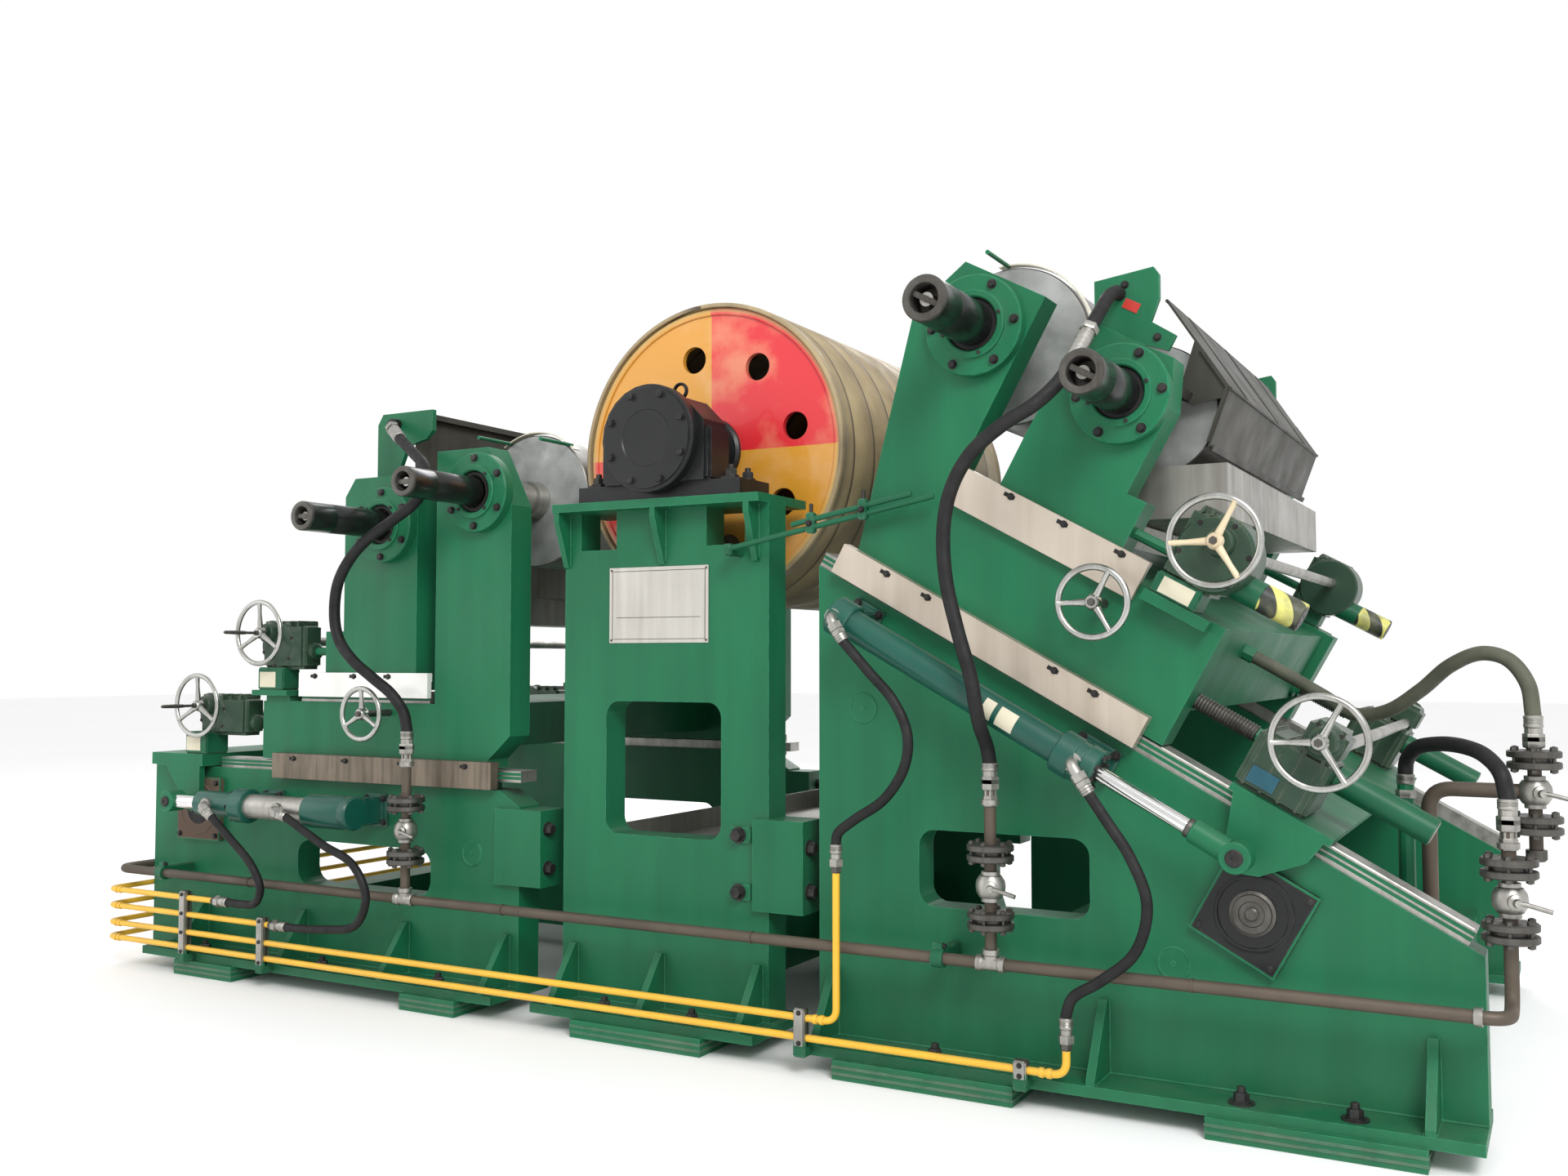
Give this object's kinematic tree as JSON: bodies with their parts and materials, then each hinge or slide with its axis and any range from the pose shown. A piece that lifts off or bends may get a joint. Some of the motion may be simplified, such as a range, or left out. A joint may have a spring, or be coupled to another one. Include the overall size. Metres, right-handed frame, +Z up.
{
  "type": "roll coating machine",
  "caption": "Coil roll coater: a backing drum on a centre stand between a level two-roll head and an inclined two-roll head, with cylinders, hoses and handwheels.",
  "frame": {"origin": "on the floor, at the middle of the box around the machine without its hoses", "axes": "+X along the strip towards the inclined head, +Y from the operating side to the far side, +Z up"},
  "size_m": [5.1928, 2.7, 2.485],
  "materials": {
    "green_paint": "semi-gloss machine enamel, chipped at the edges",
    "teal_paint": "semi-gloss enamel",
    "black_paint": "satin enamel",
    "drum_wrap": "dull brown protective wrap",
    "drum_face": "yellow and red quadrants",
    "roll_steel": "ground and stained",
    "stainless_sheet": "brown stained sheet",
    "dark_sheet": "dark grey folded sheet",
    "handwheel_steel": "bare turned steel",
    "jack_paint": "olive painted casting",
    "rusty_pipe": "rust-brown primer",
    "yellow_paint": "gloss yellow pipe paint",
    "black_hose": "matt rubber cover",
    "grey_hose": "grey-green matt cover"
  },
  "bodies": {
    "fixed_frame": {"base_girder": "green_paint", "drain_hose": "black_hose", "drip_tray": "stainless_sheet", "drum_bearing_front": "black_paint", "drum_bearing_rear": "black_paint", "hydraulic_lines": "yellow_paint", "left_advance_hose": "black_hose", "left_cylinder_front": "teal_paint", "left_cylinder_rear": "teal_paint", "left_feed_hose": "black_hose", "left_frame_front": "green_paint", "left_frame_rear": "green_paint", "left_retract_hose": "black_hose", "return_hose": "grey_hose", "return_stack": "rusty_pipe", "right_advance_hose": "black_hose", "right_cylinder_front": "teal_paint", "right_cylinder_rear": "teal_paint", "right_feed_hose": "black_hose", "right_frame_front": "green_paint", "right_frame_rear": "green_paint", "right_retract_hose": "black_hose", "stand_front": "green_paint", "stand_rear": "green_paint", "stay_rod": "green_paint", "supply_header": "rusty_pipe"},
    "drum": {"drum_shell": "drum_wrap", "drum_end_front": "drum_face", "drum_end_rear": "drum_face"},
    "left_carriage": {"left_carriage_front": "green_paint", "left_carriage_rear": "green_paint", "left_carriage_beam": "green_paint", "left_splash_guard": "stainless_sheet", "left_upper_jack": "jack_paint"},
    "left_slide": {"left_slide_front": "green_paint", "left_slide_rear": "green_paint", "left_pan": "stainless_sheet"},
    "left_ram_body": {"left_ram": "green_paint", "left_lower_jack": "jack_paint"},
    "right_carriage": {"right_carriage_front": "green_paint", "right_carriage_rear": "green_paint", "right_carriage_beam": "green_paint", "right_upper_jack": "jack_paint"},
    "right_slide": {"right_slide_front": "green_paint", "right_slide_rear": "green_paint", "right_pan": "stainless_sheet", "right_hood": "dark_sheet"},
    "right_ram_body": {"right_ram": "green_paint", "right_lower_jack": "jack_paint"},
    "left_applicator_roll_body": {"left_applicator_roll": "roll_steel"},
    "left_face_handwheel_body": {"left_face_handwheel": "handwheel_steel"},
    "left_lower_handwheel_body": {"left_lower_handwheel": "handwheel_steel"},
    "left_pickup_roll_body": {"left_pickup_roll": "roll_steel"},
    "left_upper_handwheel_body": {"left_upper_handwheel": "handwheel_steel"},
    "right_applicator_roll_body": {"right_applicator_roll": "roll_steel"},
    "right_face_handwheel_body": {"right_face_handwheel": "handwheel_steel"},
    "right_lower_handwheel_body": {"right_lower_handwheel": "handwheel_steel"},
    "right_pickup_roll_body": {"right_pickup_roll": "roll_steel"},
    "right_upper_handwheel_body": {"right_upper_handwheel": "handwheel_steel"}
  },
  "joints": [
    {"name": "drum_turn", "type": "hinge", "parent": "fixed_frame", "child": "drum", "pos_m": [-0.01664, 0.105, 1.955], "axis": [0, 1, 0], "continuous": true},
    {"name": "left_carriage_slide", "type": "slide", "parent": "fixed_frame", "child": "left_carriage", "axis": [1, 0, 0], "range_m": [-0.15, 0.008], "deforming": ["left_feed_hose"]},
    {"name": "left_slide_adjust", "type": "slide", "parent": "left_carriage", "child": "left_slide", "axis": [1, 0, 0], "range_m": [-0.03, 0.015]},
    {"name": "left_ram_adjust", "type": "slide", "parent": "left_carriage", "child": "left_ram_body", "axis": [1, 0, 0], "range_m": [-0.015, 0.015]},
    {"name": "right_carriage_slide", "type": "slide", "parent": "fixed_frame", "child": "right_carriage", "axis": [-0.8746, 0, 0.4848], "range_m": [-0.06, 0.25], "deforming": ["right_feed_hose", "return_hose"]},
    {"name": "right_slide_adjust", "type": "slide", "parent": "right_carriage", "child": "right_slide", "axis": [-0.8746, 0, 0.4848], "range_m": [-0.02, 0.03]},
    {"name": "right_ram_adjust", "type": "slide", "parent": "right_carriage", "child": "right_ram_body", "axis": [-0.8746, 0, 0.4848], "range_m": [-0.015, 0.015]},
    {"name": "left_applicator_turn", "type": "hinge", "parent": "left_carriage", "child": "left_applicator_roll_body", "pos_m": [-0.80164, 0.105, 1.828], "axis": [0, 1, 0], "continuous": true},
    {"name": "left_pickup_turn", "type": "hinge", "parent": "left_slide", "child": "left_pickup_roll_body", "pos_m": [-1.25264, 0.105, 1.731], "axis": [0, 1, 0], "continuous": true},
    {"name": "right_applicator_turn", "type": "hinge", "parent": "right_carriage", "child": "right_applicator_roll_body", "pos_m": [1.10097, 0.105, 2.2139], "axis": [0, 1, 0], "continuous": true},
    {"name": "right_pickup_turn", "type": "hinge", "parent": "right_slide", "child": "right_pickup_roll_body", "pos_m": [1.53381, 0.105, 1.97168], "axis": [0, 1, 0], "continuous": true},
    {"name": "left_upper_handwheel_turn", "type": "hinge", "parent": "left_carriage", "child": "left_upper_handwheel_body", "pos_m": [-1.85964, -1, 1.332], "axis": [0, 1, 0], "continuous": true},
    {"name": "left_lower_handwheel_turn", "type": "hinge", "parent": "left_ram_body", "child": "left_lower_handwheel_body", "pos_m": [-2.21064, -1, 1.044], "axis": [0, 1, 0], "continuous": true},
    {"name": "left_face_handwheel_turn", "type": "hinge", "parent": "left_carriage", "child": "left_face_handwheel_body", "pos_m": [-1.23264, -1.075, 1.031], "axis": [0, 1, 0], "continuous": true},
    {"name": "right_upper_handwheel_turn", "type": "hinge", "parent": "right_carriage", "child": "right_upper_handwheel_body", "pos_m": [1.80909, -1.06, 1.54011], "axis": [0, 1, 0], "continuous": true},
    {"name": "right_face_handwheel_turn", "type": "hinge", "parent": "right_carriage", "child": "right_face_handwheel_body", "pos_m": [1.47667, -1.045, 1.38594], "axis": [0, 1, 0], "continuous": true},
    {"name": "right_lower_handwheel_turn", "type": "hinge", "parent": "right_ram_body", "child": "right_lower_handwheel_body", "pos_m": [2.05999, -1.06, 1.01916], "axis": [0, 1, 0], "continuous": true}
  ]
}
